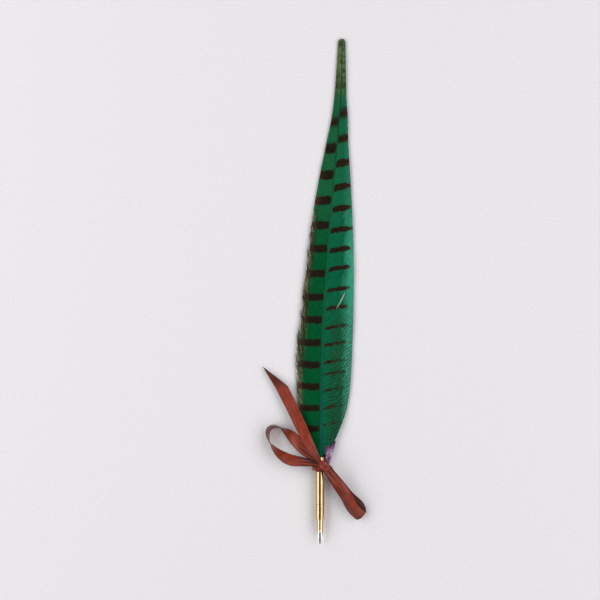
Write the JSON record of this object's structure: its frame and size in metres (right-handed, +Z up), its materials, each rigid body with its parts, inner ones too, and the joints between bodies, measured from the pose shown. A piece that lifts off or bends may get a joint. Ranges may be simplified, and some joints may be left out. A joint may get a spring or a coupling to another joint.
{
  "type": "quill pen",
  "caption": "Quill dip pen: barred tail feather held in a slim metal barrel, pull-off front section, removable slit nib and a ribbon bow tied round the barrel.",
  "frame": {"origin": "under the middle of the pen on the table it lies on, ribbon loops and tails left out", "axes": "+Y along the barrel's axis from the nib to the feather's tip, +Z up from the table, +X to the right seen from above with the nib nearest"},
  "size_m": [0.0608, 0.3034, 0.0096],
  "materials": {
    "gold_plate": "polished gold plate",
    "nib_plate": "polished, gold sides and pale middle",
    "plug_plastic": "moulded",
    "glue": "hot-melt adhesive",
    "quill": "dyed horn-like keratin, satin",
    "barred_vane": "dyed green barbs with dark brown bars",
    "down": "loose purple-dyed down",
    "satin": "rust-brown satin ribbon"
  },
  "bodies": {
    "barrel_and_feather": {"barrel_tube": "gold_plate", "quill_glue": "glue", "feather_shaft": "quill", "vane_left": "barred_vane", "vane_right": "barred_vane", "down_left": "down", "down_right": "down", "ribbon_wrap": "satin", "ribbon_knot": "satin", "ribbon_loop_left": "satin", "ribbon_loop_right": "satin", "ribbon_tail_left": "satin", "ribbon_tail_right": "satin"},
    "front_section": {"front_section": "gold_plate", "nib_plug": "plug_plastic"},
    "nib": {"nib": "nib_plate"}
  },
  "joints": [
    {"name": "section_pull", "type": "slide", "parent": "barrel_and_feather", "child": "front_section", "axis": [0, -1, 0], "range_m": [0, 0.0085]},
    {"name": "nib_pull", "type": "slide", "parent": "front_section", "child": "nib", "axis": [0, -1, 0], "range_m": [0, 0.0085]}
  ]
}
